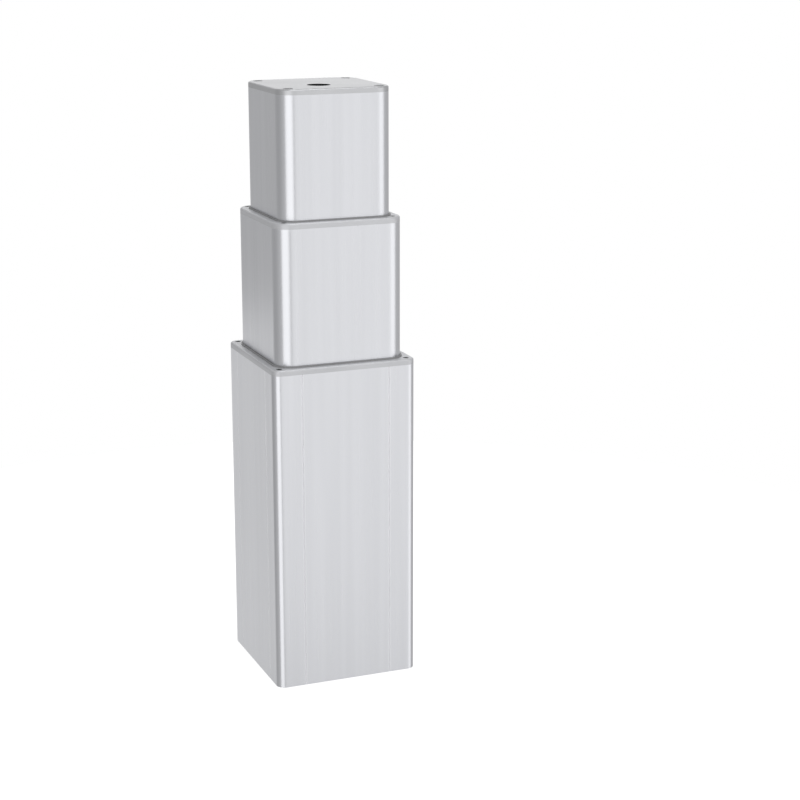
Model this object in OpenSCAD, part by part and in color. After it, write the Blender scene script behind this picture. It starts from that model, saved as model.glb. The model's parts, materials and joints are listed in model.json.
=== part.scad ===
// Electric lifting column: three nested square aluminium stages, run out
// and in by one motor, a worm gearbox and two coupled lifting screws.
// Drawn fully extended. The column stands on z = 0, its front faces -Y.

/* [Outer stage] */
// Width of the outer profile across its flats
outer_w = 160; // [156:0.5:166]
// Wall of the outer profile
outer_wall = 3; // [2.5:0.1:4]
// Radius of the outer profile's corners
outer_corner_r = 9.5; // [8:0.5:11]
// Length of the outer profile
outer_len = 348; // [330:1:400]
// Distance of the fine face grooves from the edges of the face
groove_inset = 31; // [30:0.5:33]
// Width of a face groove at the surface
groove_w = 1.6; // [0.8:0.1:2]
// Distance of the outer profile's screw ports from its faces
outer_port_inset = 8.5; // [8:0.1:9.2]

/* [Middle stage] */
// Wall of the middle profile
middle_wall = 3; // [2.5:0.1:3.4]
// Radius of the middle profile's corners
middle_corner_r = 19; // [17:0.5:20]
// Distance of the middle profile's screw ports from its faces
middle_port_inset = 10.5; // [10:0.1:11]

/* [Inner stage] */
// Wall of the inner profile
inner_wall = 2.5; // [2:0.1:3]
// Radius of the inner profile's corners
inner_corner_r = 19; // [17:0.5:20]
// Distance of the inner profile's screw ports from its faces
inner_port_inset = 12; // [11:0.1:13]

/* [Travel] */
// Turns of the lifting screws from closed to extended
turns = 17.5; // [14:0.1:19]
// Lead of the lower lifting screw
lower_lead = 8; // [7:0.1:8.5]
// Lead of the upper lifting screw
upper_lead = 7; // [6:0.1:7.5]
// Height of the middle collar over the outer collar when closed
middle_step = 12; // [8:0.5:20]
// Height of the top plate over the middle collar when closed
inner_step = 13.5; // [8:0.5:20]

/* [Plates and collars] */
// Thickness of the base plate
base_t = 8; // [7:0.5:10]
// Thickness of a collar
collar_t = 6; // [5.6:0.1:8]
// Thickness of the top plate
top_t = 6; // [5.6:0.1:8]
// Radius of the collars' and the top plate's upper edge
edge_r = 2; // [1:0.1:2.5]
// Diameter of the cable hole in the top plate
cable_hole_d = 25; // [16:0.5:28]
// Sideways place of the cable hole from the column axis
cable_hole_x = -6; // [-8:0.5:0]
// Front-to-back place of the cable hole from the column axis
cable_hole_y = -20; // [-24:0.5:0]
// Spacing of the mounting holes in the base plate
mount_pitch = 110; // [108:0.5:116]
// Diameter of a mounting hole in the base plate, tapped M8
mount_hole_d = 6.8; // [6:0.1:7]

/* [Guides] */
// Space between a stage's inner faces and the next stage
stage_space = 6; // [5.6:0.1:6.5]
// Running gap between a glide and the face it slides on
glide_gap = 0.3; // [0.2:0.05:0.4]
// Width of a glide
glide_w = 18; // [14:0.5:18]
// Height of a glide
glide_h = 32; // [24:1:40]
// Distance from a glide to the rounding of the inner stage's corners
glide_margin = 2; // [1:0.5:3]
// Thickness of a wiper lip
wiper_t = 2; // [1.5:0.1:2.2]
// Height of a wiper lip over its collar
wiper_proud = 1.4; // [0.5:0.1:2]

/* [Lifting screws] */
// Outer diameter of the lower lifting screw's thread
lower_screw_d = 18; // [17:0.5:19]
// Outer diameter of the upper lifting screw's thread
upper_screw_d = 20; // [19:0.5:21]
// Width of the hexagonal drive shaft across its flats
hex_af = 8; // [7:0.1:8.4]
// Thickness of the plates that carry the middle and inner stages
carrier_t = 14; // [13:0.5:18]
// Running gap round a journal or in a nut
run_gap = 0.05; // [0.02:0.01:0.09]

/* [Gearbox] */
// Module of the spur gears
gear_module = 1.25; // [1.2:0.01:1.3]
// Teeth of each spur gear
gear_teeth = 32; // [30:2:34]
// Width of the spur gears' teeth
gear_h = 6; // [5:0.5:6]
// Module of the worm wheel
wheel_module = 1.5; // [1.4:0.05:1.55]
// Teeth of the worm wheel
wheel_teeth = 40; // [36:1:40]
// Width of the worm wheel's teeth
wheel_h = 12; // [10:0.5:14]
// Pitch radius of the worm
worm_r = 7.5; // [7:0.1:8]
// Wall of the gearbox housing
housing_wall = 3.5; // [3:0.1:4]

/* [Motor] */
// Diameter of the motor can
motor_d = 40; // [38:0.5:41]
// Space between the motor's end and the outer profile
motor_end_gap = 3; // [2:0.5:6]
// Wall of the motor can
can_wall = 2; // [1.5:0.1:2.5]

/* [Fasteners] */
// Diameter of the small thread-forming screws
small_screw_d = 4; // [3.5:0.1:4.2]
// Head diameter of the small thread-forming screws
small_head_d = 6; // [5.6:0.1:6.4]
// Diameter of the top plate's screws
top_screw_d = 6; // [5:0.1:6.5]
// Head diameter of the top plate's screws
top_head_d = 10; // [9:0.1:10.5]
// Diameter of the gearbox's screws
box_screw_d = 5; // [4:0.1:5]
// Length of the collars' screws
collar_screw_len = 14; // [10:1:20]
// Length of the top plate's screws
top_screw_len = 18; // [12:1:25]
// Length of the base plate's screws
base_screw_len = 16; // [12:1:25]
// Length of the carrier plates' screws
carrier_screw_len = 20; // [14:1:25]
// Length of the gearbox cover's screws
cover_screw_len = 12; // [9:0.5:13]

/* [Hidden] */
$fn = 48;
eps = 0.01;
fit = 0.05;
corner = [[1, 1], [-1, 1], [-1, -1], [1, -1]];

// Widths of the profiles, each inside the one before, and what sits in their walls
outer_bore = outer_w - 2 * outer_wall;
middle_w = outer_bore - 2 * stage_space;
middle_bore = middle_w - 2 * middle_wall;
inner_w = middle_bore - 2 * stage_space;
outer_port_x = outer_w / 2 - outer_port_inset;
middle_port_x = middle_w / 2 - middle_port_inset;
inner_port_x = inner_w / 2 - inner_port_inset;
groove_x = outer_w / 2 - groove_inset;
glide_x = inner_w / 2 - inner_corner_r - glide_w / 2 - glide_margin;
glide_t = stage_space - glide_gap;
small_port_r = small_screw_d / 2 - 0.25;
small_boss_r = small_screw_d / 2 + 1.6;
top_port_r = top_screw_d / 2 - 0.3;
top_boss_r = top_screw_d / 2 + 2.5;
port_web_t = 3;
track_rib_t = 1.2;
track_rib_h = 1;
track_play = 0.4;

// Lifting screws and their travel
lower_stroke = turns * lower_lead;
upper_stroke = turns * upper_lead;
screw_x = gear_module * gear_teeth / 2;
lower_r = lower_screw_d / 2;
upper_r = upper_screw_d / 2;
hex_r = hex_af / sqrt(3);
bearing_h = 7;
bearing_w = 5;

// Gearbox, from the base plate up
gear_floor_z = base_t + 1 + bearing_h;
gear_play = 0.5;
gear_z = gear_floor_z + gear_play;
gear_tip_r = gear_module * (gear_teeth / 2 + 1);
split_z = gear_z + gear_h + gear_play;
roof_t = 3;
roof_z = split_z + roof_t;
motor_lift = 16;
worm_z = base_t + motor_lift + motor_d / 2;
wheel_r = wheel_module * wheel_teeth / 2;
wheel_tip_r = wheel_r + wheel_module;
wheel_z = worm_z - wheel_h / 2;
worm_y = wheel_r + worm_r;
worm_tip_r = worm_r + wheel_module;
worm_core_r = worm_r - 1.25 * wheel_module;
tunnel_r = worm_tip_r + 1;
tower_r = wheel_tip_r + 1 + housing_wall;
tower_top_z = worm_z + tunnel_r + 3;
cover_t = bearing_h + 2;
zone_top_z = tower_top_z + cover_t;
block_w = 2 * (tunnel_r + 2);
block_inset = 4;
block_x0 = -screw_x - tower_r + block_inset;
block_x1 = -screw_x + tower_r;
gear_case_r = gear_tip_r + 1 + 2.25;
lug_r = 6.5;
lugs = [
    [-screw_x - tower_r * 0.9, -tower_r * 0.72],
    [-screw_x - tower_r * 0.9, tower_r * 0.72],
    [screw_x + gear_case_r * 0.65, -gear_case_r],
    [screw_x + gear_case_r * 1.06, gear_case_r * 0.33]
];
front_ears = [225, 315];
cover_ears = [45, 135, 225, 315];
ear_r = 4.5;
ear_h = 12;
hex_journal_r = hex_r + 0.5;
hex_relief_r = hex_journal_r + 0.4;

// Heights of the stages, extended
park_gap = 5;
carrier_gap = 7;
screw_collar_t = 4;
outer_top_z = outer_len + collar_t;
middle_top_z = outer_top_z + middle_step + lower_stroke;
inner_top_z = middle_top_z + inner_step + upper_stroke;
middle_foot_z = zone_top_z + park_gap + lower_stroke;
middle_profile_z = middle_foot_z + carrier_t;
middle_len = middle_top_z - collar_t - middle_profile_z;
inner_foot_z = middle_profile_z + carrier_gap + upper_stroke;
inner_profile_z = inner_foot_z + carrier_t;
inner_len = inner_top_z - top_t - inner_profile_z;
nut_flange_t = 4;
nut_h = 22;
nut_wall = 5;
nut_flange_w = 3;
nut_room = 1.5;
screw_overrun = 8;
lower_screw_top_z = middle_foot_z + nut_h + screw_overrun;
upper_screw_top_z = inner_foot_z + nut_h + screw_overrun;
upper_bearing_z = middle_profile_z - bearing_h;
upper_journal_r = upper_r - 2;
upper_bore_r = hex_r + 1;
bush_h = 20;
lip_t = 2;

// Motor, along the worm's axis
flange_t = 6;
can_x0 = block_x1 + flange_t;
cap_t = 8;
can_x1 = outer_bore / 2 - motor_end_gap - cap_t;
motor_len = can_x1 - can_x0;
bolt_out = motor_d / 2 + 3;
bolt_turn = 35;
shaft_r = 3;
winding_end = 4;
armature_x0 = can_x0 + winding_end;
armature_len = motor_len - 3 * winding_end;
armature_r = motor_d / 2 - can_wall - 3.2;
commutator_r = 7;

// Outlines
module rounded_square(w, r) {
    square([w - 2 * r, w], center = true);
    square([w, w - 2 * r], center = true);
    for (c = corner) translate(c * (w / 2 - r)) circle(r);
}

module screw_port(w, r, wall, port_x, boss_r) {
    web_len = sqrt(2) * (w / 2 - r - port_x) + r - wall / 2;
    for (a = [0:90:270]) rotate(a) translate([port_x, port_x]) {
        circle(boss_r);
        rotate(45) translate([0, -port_web_t / 2]) square([web_len, port_web_t]);
    }
}

// Pairs of ribs on the inner faces, which keep the glides in their tracks
module glide_tracks(bore) {
    rib_x = glide_w / 2 + track_play + track_rib_t / 2;
    for (a = [0:90:270], s = [-1, 1], e = [-1, 1])
        rotate(a) translate([s * glide_x + e * rib_x, bore / 2 - track_rib_h / 2 + eps])
            square([track_rib_t, track_rib_h + 2 * eps], center = true);
}

module profile_section(w, r, wall, port_x, boss_r, hole_r) {
    difference() {
        union() {
            difference() {
                rounded_square(w, r);
                rounded_square(w - 2 * wall, r - wall);
            }
            screw_port(w, r, wall, port_x, boss_r);
        }
        for (c = corner) translate(c * port_x) circle(hole_r);
    }
}

module face_grooves() {
    for (a = [0:90:270], s = [-1, 1])
        rotate(a) translate([s * groove_x, outer_w / 2]) rotate(45)
            square(groove_w / sqrt(2), center = true);
}

// Slab with a rounded square outline and a rounded upper edge
module edged_slab(w, r, t, e) {
    c = w / 2 - r;
    module edge_section() {
        square([r, t - e]);
        square([r - e, t]);
        translate([r - e, t - e]) circle(e);
    }
    translate([-c, -c, 0]) cube([2 * c, 2 * c, t]);
    for (a = [0:90:270]) rotate(a) {
        translate([c, c, 0]) rotate_extrude(angle = 90) edge_section();
        translate([c, c, 0]) rotate([90, 0, 0]) linear_extrude(2 * c) edge_section();
    }
}

// Collar that closes the end of one stage and lets the next one through
module collar(w, r, next_w, next_r, port_x) {
    lip_w = next_w + 1.6;
    open_w = next_w + 2 * wiper_t;
    difference() {
        edged_slab(w, r, collar_t, edge_r);
        translate([0, 0, -eps]) linear_extrude(collar_t + 2 * eps)
            rounded_square(lip_w, next_r + (lip_w - next_w) / 2);
        translate([0, 0, lip_t]) linear_extrude(collar_t)
            rounded_square(open_w, next_r + (open_w - next_w) / 2);
        for (c = corner) translate(c * port_x) {
            translate([0, 0, -eps]) cylinder(h = collar_t, r = small_screw_d / 2 + 0.1);
            translate([0, 0, collar_t - 2.2]) cylinder(h = 3, d = small_head_d + 0.4);
        }
    }
}

// Wiper that fills the gap between a collar and the stage that runs through it
module wiper(next_w, next_r) {
    h = collar_t - lip_t + wiper_proud;
    out_w = next_w + 2 * wiper_t - 2 * fit;
    in_w = next_w + 2 * glide_gap;
    translate([0, 0, lip_t]) linear_extrude(h) difference() {
        rounded_square(out_w, next_r + (out_w - next_w) / 2);
        rounded_square(in_w, next_r + (in_w - next_w) / 2);
    }
}

// Eight glides that stand on inner faces (side = 1) or on outer faces (side = -1)
module glides(face_x, thickness, side) {
    peg_h = 1.2;
    for (a = [0:90:270], s = [-1, 1]) rotate(a) translate([s * glide_x, face_x, 0]) {
        rotate([side * 90, 0, 0]) linear_extrude(thickness) difference() {
            square([glide_w, glide_h], center = true);
            for (c = corner) translate([c[0] * glide_w / 2, c[1] * glide_h / 2])
                rotate(45) square(2, center = true);
        }
        rotate([-side * 90, 0, 0]) cylinder(h = peg_h - fit, r = 4 - fit);
    }
}

module glide_pockets(face_x, side) {
    for (a = [0:90:270], s = [-1, 1]) rotate(a) translate([s * glide_x, face_x, 0])
        rotate([-side * 90, 0, 0]) translate([0, 0, -1]) cylinder(h = 2.2, r = 4);
}

// Screw with its head on z = 0, pointing down
module screw(d, head_d, head_h, len) {
    difference() {
        cylinder(h = head_h, d = head_d);
        translate([0, 0, head_h * 0.45]) cylinder(h = head_h, d = head_d * 0.5, $fn = 6);
    }
    translate([0, 0, -len]) cylinder(h = len + eps, d = d);
}

// Shielded bearing: races with a shallow ring sunk in both faces
module bearing(bore_r, out_r, h) {
    difference() {
        cylinder(h = h, r = out_r);
        translate([0, 0, -eps]) cylinder(h = h + 2 * eps, r = bore_r);
        for (z = [-eps, h - 0.5]) translate([0, 0, z]) difference() {
            cylinder(h = 0.5 + eps, r = out_r - 1.5);
            translate([0, 0, -eps]) cylinder(h = 0.5 + 3 * eps, r = bore_r + 1.5);
        }
    }
}

// Outline of a gear with straight flanks that lie just inside the involute
module gear_outline(module_, teeth) {
    pitch_r = module_ * teeth / 2;
    tip_r = pitch_r + module_;
    root_r = pitch_r - 1.25 * module_;
    tip_a = 360 / teeth * 0.105;
    mid_a = 360 / teeth * 0.22;
    root_a = 360 / teeth * 0.32;
    polygon([for (i = [0:teeth - 1], p = [[root_r, -root_a], [pitch_r, -mid_a], [tip_r, -tip_a],
        [tip_r, tip_a], [pitch_r, mid_a], [root_r, root_a]])
        p[0] * [cos(360 * i / teeth + p[1]), sin(360 * i / teeth + p[1])]]);
}

// Turns a piece drawn along +Z so that it lies along +X on the worm's axis
module on_worm_axis(x) {
    translate([x, worm_y, worm_z]) rotate([0, 90, 0]) children();
}

// Base and outer stage
module outer_profile() {
    color("gainsboro") difference() {
        linear_extrude(outer_len) difference() {
            union() {
                profile_section(outer_w, outer_corner_r, outer_wall, outer_port_x, small_boss_r,
                    small_port_r);
                glide_tracks(outer_bore);
            }
            face_grooves();
        }
        // Ports and tracks are milled back at the foot, where the base plate seats
        translate([0, 0, -eps]) linear_extrude(base_t + eps)
            rounded_square(outer_bore, outer_corner_r - outer_wall);
        translate([0, 0, outer_len - glide_h / 2 - 1]) glide_pockets(outer_bore / 2, 1);
    }
}

module base_plate() {
    color("darkgray") difference() {
        linear_extrude(base_t) difference() {
            rounded_square(outer_bore - 2 * fit, outer_corner_r - outer_wall - fit);
            for (c = corner) {
                translate(c * outer_port_x) circle(small_screw_d / 2 + 0.1);
                translate(c * mount_pitch / 2) circle(mount_hole_d / 2);
            }
            for (p = lugs) translate(p) circle(box_screw_d / 2);
        }
        for (c = corner) translate([0, 0, -eps]) translate(c * outer_port_x)
            cylinder(h = 2.6, d = small_head_d + 0.4);
    }
}

module base_plate_screws() {
    color("dimgray") for (c = corner) translate([0, 0, 2.5]) translate(c * outer_port_x)
        rotate([180, 0, 0]) screw(2 * small_port_r - 0.1, small_head_d, 2.2, base_screw_len);
}

module outer_collar() {
    color("silver") translate([0, 0, outer_len])
        collar(outer_w, outer_corner_r, middle_w, middle_corner_r, outer_port_x);
}

module collar_screws(top_z, port_x) {
    color("dimgray") for (c = corner) translate([0, 0, top_z - 2.15]) translate(c * port_x)
        screw(2 * small_port_r - 0.1, small_head_d, 1.9, collar_screw_len);
}

module outer_collar_screws() {
    collar_screws(outer_top_z, outer_port_x);
}

module outer_wiper() {
    color("black") translate([0, 0, outer_len]) wiper(middle_w, middle_corner_r);
}

module outer_glides() {
    color("white") translate([0, 0, outer_len - glide_h / 2 - 1])
        glides(outer_bore / 2, glide_t, 1);
}

// Gearbox
module gearbox_outline() {
    translate([-screw_x, 0]) circle(tower_r);
    translate([screw_x, 0]) circle(gear_case_r);
    translate([-screw_x, -gear_case_r]) square([2 * screw_x, 2 * gear_case_r]);
    for (p = lugs) translate(p) circle(lug_r);
}

module ear(h) {
    translate([tower_r - 2, -ear_r, 0]) cube([ear_r + 2.5, 2 * ear_r, h]);
}

module gearbox_base() {
    color("lightsteelblue") translate([0, 0, base_t]) difference() {
        linear_extrude(split_z - base_t) gearbox_outline();
        translate([0, 0, gear_floor_z - base_t]) linear_extrude(split_z) {
            for (x = [-screw_x, screw_x]) translate([x, 0]) circle(gear_tip_r + 1);
        }
        for (p = lugs) translate([0, 0, -eps]) translate(p)
            cylinder(h = split_z, d = box_screw_d + 0.3);
        translate([-screw_x, 0, 1]) cylinder(h = bearing_h + eps, r = lower_r - 4 + bearing_w + 3);
        translate([screw_x, 0, 1]) cylinder(h = bearing_h + eps, r = hex_r + bearing_w);
    }
}

module gearbox_tower() {
    color("lightsteelblue") difference() {
        union() {
            translate([0, 0, split_z]) linear_extrude(roof_t) gearbox_outline();
            translate([-screw_x, 0, split_z]) cylinder(h = tower_top_z - split_z, r = tower_r);
            for (a = front_ears) translate([-screw_x, 0, tower_top_z - ear_h]) rotate(a) ear(ear_h);
            // Block round the worm, which also takes the cover's two rear screws
            translate([block_x0, 0, worm_z - block_w / 2])
                cube([block_x1 - block_x0, worm_y + block_w / 2, tower_top_z - worm_z + block_w / 2]);
            translate([screw_x, 0, split_z])
                cylinder(h = roof_t + bearing_h - 1, r = hex_r + bearing_w + 2.5);
        }
        translate([-screw_x, 0, split_z - eps])
            cylinder(h = tower_top_z, r = wheel_tip_r + 1);
        on_worm_axis(block_x0 - 1) cylinder(h = block_x1 - block_x0 + 2, r = tunnel_r);
        for (p = lugs) translate([0, 0, split_z - eps]) translate(p)
            cylinder(h = roof_t + 2 * eps, d = box_screw_d + 0.3);
        for (p = lugs) translate([0, 0, roof_z]) translate(p) cylinder(h = ear_h, r = lug_r);
        for (a = cover_ears) translate([-screw_x, 0, tower_top_z - ear_h + 2]) rotate(a)
            translate([tower_r + 0.5, 0, 0]) cylinder(h = ear_h, r = small_port_r);
        translate([screw_x, 0, split_z - eps])
            cylinder(h = 2 + eps, r = hex_r + 2);
        translate([screw_x, 0, split_z + 2])
            cylinder(h = bearing_h + 1, r = hex_r + bearing_w);
        // Relief in the wall, where the hexagonal shaft passes close by
        translate([screw_x, 0, split_z + 2]) cylinder(h = tower_top_z, r = hex_relief_r);
    }
}

module gearbox_cover() {
    pocket_r = lower_r - 1 + bearing_w;
    color("lightsteelblue") translate([-screw_x, 0, tower_top_z]) difference() {
        union() {
            cylinder(h = 4, r = tower_r);
            for (a = cover_ears) rotate(a) ear(4);
            cylinder(h = cover_t, r = pocket_r + 3);
            // Ribs between the bearing boss and the rim
            for (a = [0:45:315]) rotate(a) translate([pocket_r, -1, 0])
                cube([tower_r - ear_r - 1 - pocket_r, 2, cover_t - 2]);
        }
        translate([0, 0, -eps]) cylinder(h = cover_t, r = lower_r);
        translate([0, 0, cover_t - bearing_h]) cylinder(h = bearing_h + eps, r = pocket_r);
        for (a = cover_ears) rotate(a) translate([tower_r + 0.5, 0, -eps])
            cylinder(h = 5, d = small_screw_d + 0.2);
        translate([2 * screw_x, 0, -eps]) cylinder(h = cover_t, r = hex_relief_r);
    }
}

module gearbox_screws() {
    color("dimgray") for (p = lugs) translate([0, 0, roof_z]) translate(p)
        screw(box_screw_d - 0.1, box_screw_d * 1.7, 3.5, roof_z - 2);
}

module gearbox_cover_screws() {
    color("dimgray") for (a = cover_ears) translate([-screw_x, 0, tower_top_z + 4]) rotate(a)
        translate([tower_r + 0.5, 0, 0])
            screw(2 * small_port_r - 0.1, small_head_d, 2.4, cover_screw_len);
}

module worm_end_plug() {
    color("dimgray") on_worm_axis(block_x0) difference() {
        cylinder(h = 4, r = tunnel_r - fit);
        translate([0, 0, -eps]) cylinder(h = 2, r = 4, $fn = 6);
    }
}

module lower_screw_foot_bearing() {
    color("lightgray") translate([-screw_x, 0, base_t + 1])
        bearing(lower_r - 4 + fit, lower_r - 4 + bearing_w + 3 - fit, bearing_h);
}

module lower_screw_cover_bearing() {
    color("lightgray") translate([-screw_x, 0, zone_top_z - bearing_h])
        bearing(lower_r - 1 + run_gap, lower_r - 1 + bearing_w - fit, bearing_h);
}

module hex_shaft_foot_bearing() {
    color("lightgray") translate([screw_x, 0, base_t + 1])
        bearing(hex_r - 0.5 + run_gap, hex_r + bearing_w - fit, bearing_h);
}

module hex_shaft_top_bearing() {
    color("lightgray") translate([screw_x, 0, split_z + 2])
        bearing(hex_journal_r + run_gap, hex_r + bearing_w - fit, bearing_h);
}

module worm_bearings() {
    color("lightgray") for (x = [block_x0 + 4, block_x1 - 6])
        on_worm_axis(x) bearing(shaft_r + 1 + run_gap, tunnel_r - fit, 6);
}

// Motor
module motor_ears(h) {
    rotate(bolt_turn) {
        for (s = [-1, 1]) translate([0, s * bolt_out, 0]) cylinder(h = h, r = 4);
        translate([-4, -bolt_out, 0]) cube([8, 2 * bolt_out, h]);
    }
}

module motor_bolt_holes(h) {
    rotate(bolt_turn) for (s = [-1, 1]) translate([0, s * bolt_out, -eps])
        cylinder(h = h + 2 * eps, r = 1.6);
}

module motor_flange() {
    color("darkgray") on_worm_axis(block_x1) difference() {
        union() {
            cylinder(h = flange_t, r = motor_d / 2);
            motor_ears(flange_t);
            cylinder(h = flange_t + 2, r = motor_d / 2 - can_wall - fit);
        }
        motor_bolt_holes(flange_t);
        translate([0, 0, -eps]) cylinder(h = flange_t + 3, r = shaft_r + 2);
    }
}

module motor_can() {
    color("gray") on_worm_axis(can_x0) difference() {
        cylinder(h = motor_len, r = motor_d / 2);
        translate([0, 0, -eps]) cylinder(h = motor_len + 1, r = motor_d / 2 - can_wall);
    }
}

module motor_magnets() {
    color("dimgray") on_worm_axis(armature_x0) intersection() {
        difference() {
            cylinder(h = armature_len, r = motor_d / 2 - can_wall - fit);
            translate([0, 0, -eps])
                cylinder(h = armature_len + 1, r = armature_r + 0.6);
        }
        for (s = [-1, 1]) translate([s * motor_d / 2, 0, armature_len / 2])
            cube([motor_d - 10, motor_d * 0.75, armature_len + 2], center = true);
    }
}

module motor_end_cap() {
    cap_r = motor_d / 2 - can_wall;
    color("black") on_worm_axis(can_x1) difference() {
        union() {
            cylinder(h = cap_t, r = motor_d / 2);
            motor_ears(4);
            translate([0, 0, -2]) cylinder(h = 3, r = cap_r - fit);
        }
        translate([0, 0, -3]) cylinder(h = cap_t, r = cap_r - 3);
        translate([0, 0, -3]) cylinder(h = cap_t + 2, r = shaft_r + 0.5);
        motor_bolt_holes(4);
    }
}

module motor_bolts() {
    color("lightgray") on_worm_axis(can_x1 + 4) rotate(bolt_turn)
        for (s = [-1, 1]) translate([0, s * bolt_out, 0])
            screw(3, 5.5, 2.5, motor_len + flange_t + 4);
}

module brush_holder() {
    holder_x = can_x1 + 1;
    color("peru") on_worm_axis(holder_x) difference() {
        cylinder(h = 3, r = motor_d / 2 - can_wall - 3 - fit);
        translate([0, 0, -eps]) cylinder(h = 4, r = commutator_r + 0.5);
    }
}

// Lower lifting screw and its gears
module lower_screw() {
    color("lightgray") translate([-screw_x, 0, 0]) {
        translate([0, 0, base_t + 1]) cylinder(h = bearing_h + 1, r = lower_r - 4);
        translate([0, 0, gear_floor_z + fit]) cylinder(h = zone_top_z - gear_floor_z, r = lower_r - 1);
        translate([0, 0, zone_top_z + fit])
            cylinder(h = lower_screw_top_z - zone_top_z - 1.5, r = lower_r);
        translate([0, 0, lower_screw_top_z - 1.5 + fit])
            cylinder(h = 1.5, r1 = lower_r, r2 = lower_r - 1.5);
    }
}

module worm_wheel() {
    hub_h = wheel_h + 4;
    color("goldenrod") translate([-screw_x, 0, wheel_z]) difference() {
        union() {
            linear_extrude(wheel_h) gear_outline(wheel_module, wheel_teeth);
            translate([0, 0, -2]) cylinder(h = hub_h, r = lower_r + 4);
        }
        translate([0, 0, -3]) cylinder(h = hub_h + 2, r = lower_r - 1 + fit);
        // Web thinned between hub and rim
        for (z = [-1, wheel_h - 2]) translate([0, 0, z]) difference() {
            cylinder(h = 3, r = wheel_r - 5);
            translate([0, 0, -1]) cylinder(h = 5, r = lower_r + 4);
        }
    }
}

module spur_gear(bore_r) {
    linear_extrude(gear_h) difference() {
        gear_outline(gear_module, gear_teeth);
        circle(bore_r);
        for (a = [30:60:330]) rotate(a) translate([gear_tip_r * 0.64, 0]) circle(3);
    }
}

module drive_gear() {
    color("darkgray") translate([-screw_x, 0, gear_z]) spur_gear(lower_r - 1 + fit);
}

// Hexagonal shaft that drives the upper lifting screw at every height
module hex_shaft() {
    color("lightgray") translate([screw_x, 0, 0]) {
        translate([0, 0, base_t + 1]) cylinder(h = bearing_h + 1, r = hex_r - 0.5);
        translate([0, 0, gear_floor_z + fit])
            cylinder(h = roof_z + bearing_h - gear_floor_z, r = hex_journal_r);
        translate([0, 0, roof_z + bearing_h])
            cylinder(h = lower_screw_top_z - roof_z - bearing_h, r = hex_r, $fn = 6);
    }
}

module driven_gear() {
    color("darkgray") translate([screw_x, 0, gear_z]) rotate(180 / gear_teeth)
        spur_gear(hex_journal_r + fit);
}

// Worm shaft and motor rotor
module worm_shaft() {
    plug_seat = 10.5;
    flange_seat = 6.5;
    worm_x0 = block_x0 + plug_seat;
    worm_len = block_x1 - plug_seat - flange_seat - block_x0;
    color("lightgray") {
        on_worm_axis(block_x0 + 4.5) cylinder(h = block_x1 - block_x0 - 4.5, r = shaft_r + 1);
        on_worm_axis(worm_x0) cylinder(h = worm_len, r = worm_core_r);
        on_worm_axis(block_x1 - 1) cylinder(h = can_x1 - block_x1 + cap_t - 2, r = shaft_r);
    }
}

module armature() {
    color("brown") on_worm_axis(armature_x0) linear_extrude(armature_len) difference() {
        circle(armature_r);
        circle(shaft_r + fit);
        for (a = [0:36:324]) rotate(a) translate([armature_r - 3, 0]) circle(2);
        for (a = [0:36:324]) rotate(a) translate([armature_r - 2, -0.75]) square([3, 1.5]);
    }
}

module commutator() {
    color("orange") on_worm_axis(armature_x0 + armature_len + 1)
        linear_extrude(can_x1 + 4 - armature_x0 - armature_len - 1) difference() {
            circle(commutator_r);
            circle(shaft_r + fit);
        }
}

// Middle stage
module middle_profile() {
    color("gainsboro") translate([0, 0, middle_profile_z]) difference() {
        linear_extrude(middle_len) {
            profile_section(middle_w, middle_corner_r, middle_wall, middle_port_x, small_boss_r,
                small_port_r);
            glide_tracks(middle_bore);
        }
        translate([0, 0, middle_len - glide_h / 2 - 1]) glide_pockets(middle_bore / 2, 1);
        translate([0, 0, glide_h / 2 + 1]) glide_pockets(middle_w / 2, -1);
    }
}

module middle_collar() {
    color("silver") translate([0, 0, middle_top_z - collar_t])
        collar(middle_w, middle_corner_r, inner_w, inner_corner_r, middle_port_x);
}

module middle_collar_screws() {
    collar_screws(middle_top_z, middle_port_x);
}

module middle_wiper() {
    color("black") translate([0, 0, middle_top_z - collar_t]) wiper(inner_w, inner_corner_r);
}

module middle_upper_glides() {
    color("white") translate([0, 0, middle_profile_z + middle_len - glide_h / 2 - 1])
        glides(middle_bore / 2, glide_t, 1);
}

module middle_lower_glides() {
    color("white") translate([0, 0, middle_profile_z + glide_h / 2 + 1])
        glides(middle_w / 2, glide_t, -1);
}

// Plate that closes the foot of a moving stage and carries its nut
module carrier(w, r, port_x, screw_d, head_d) {
    difference() {
        linear_extrude(carrier_t) difference() {
            rounded_square(w, r);
            for (c = corner) translate(c * port_x) circle(screw_d / 2 + 0.1);
        }
        for (c = corner) translate([0, 0, -eps]) translate(c * port_x)
            cylinder(h = carrier_t - 6, d = head_d + 0.4);
    }
}

module carrier_screws(foot_z, port_x, port_r, head_d) {
    color("dimgray") for (c = corner) translate([0, 0, foot_z + carrier_t - 6])
        translate(c * port_x) rotate([180, 0, 0])
        screw(2 * port_r - 0.1, head_d, 3, carrier_screw_len);
}

module middle_carrier() {
    color("darkgray") translate([0, 0, middle_foot_z]) difference() {
        carrier(middle_w, middle_corner_r, middle_port_x, small_screw_d, small_head_d);
        translate([-screw_x, 0, 0]) nut_seat(lower_r);
        translate([screw_x, 0, -eps]) cylinder(h = carrier_t + 1, r = upper_journal_r + 1);
        translate([screw_x, 0, carrier_t - bearing_h])
            cylinder(h = bearing_h + 1, r = upper_journal_r + bearing_w);
    }
}

module middle_carrier_screws() {
    carrier_screws(middle_foot_z, middle_port_x, small_port_r, small_head_d);
}

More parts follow.
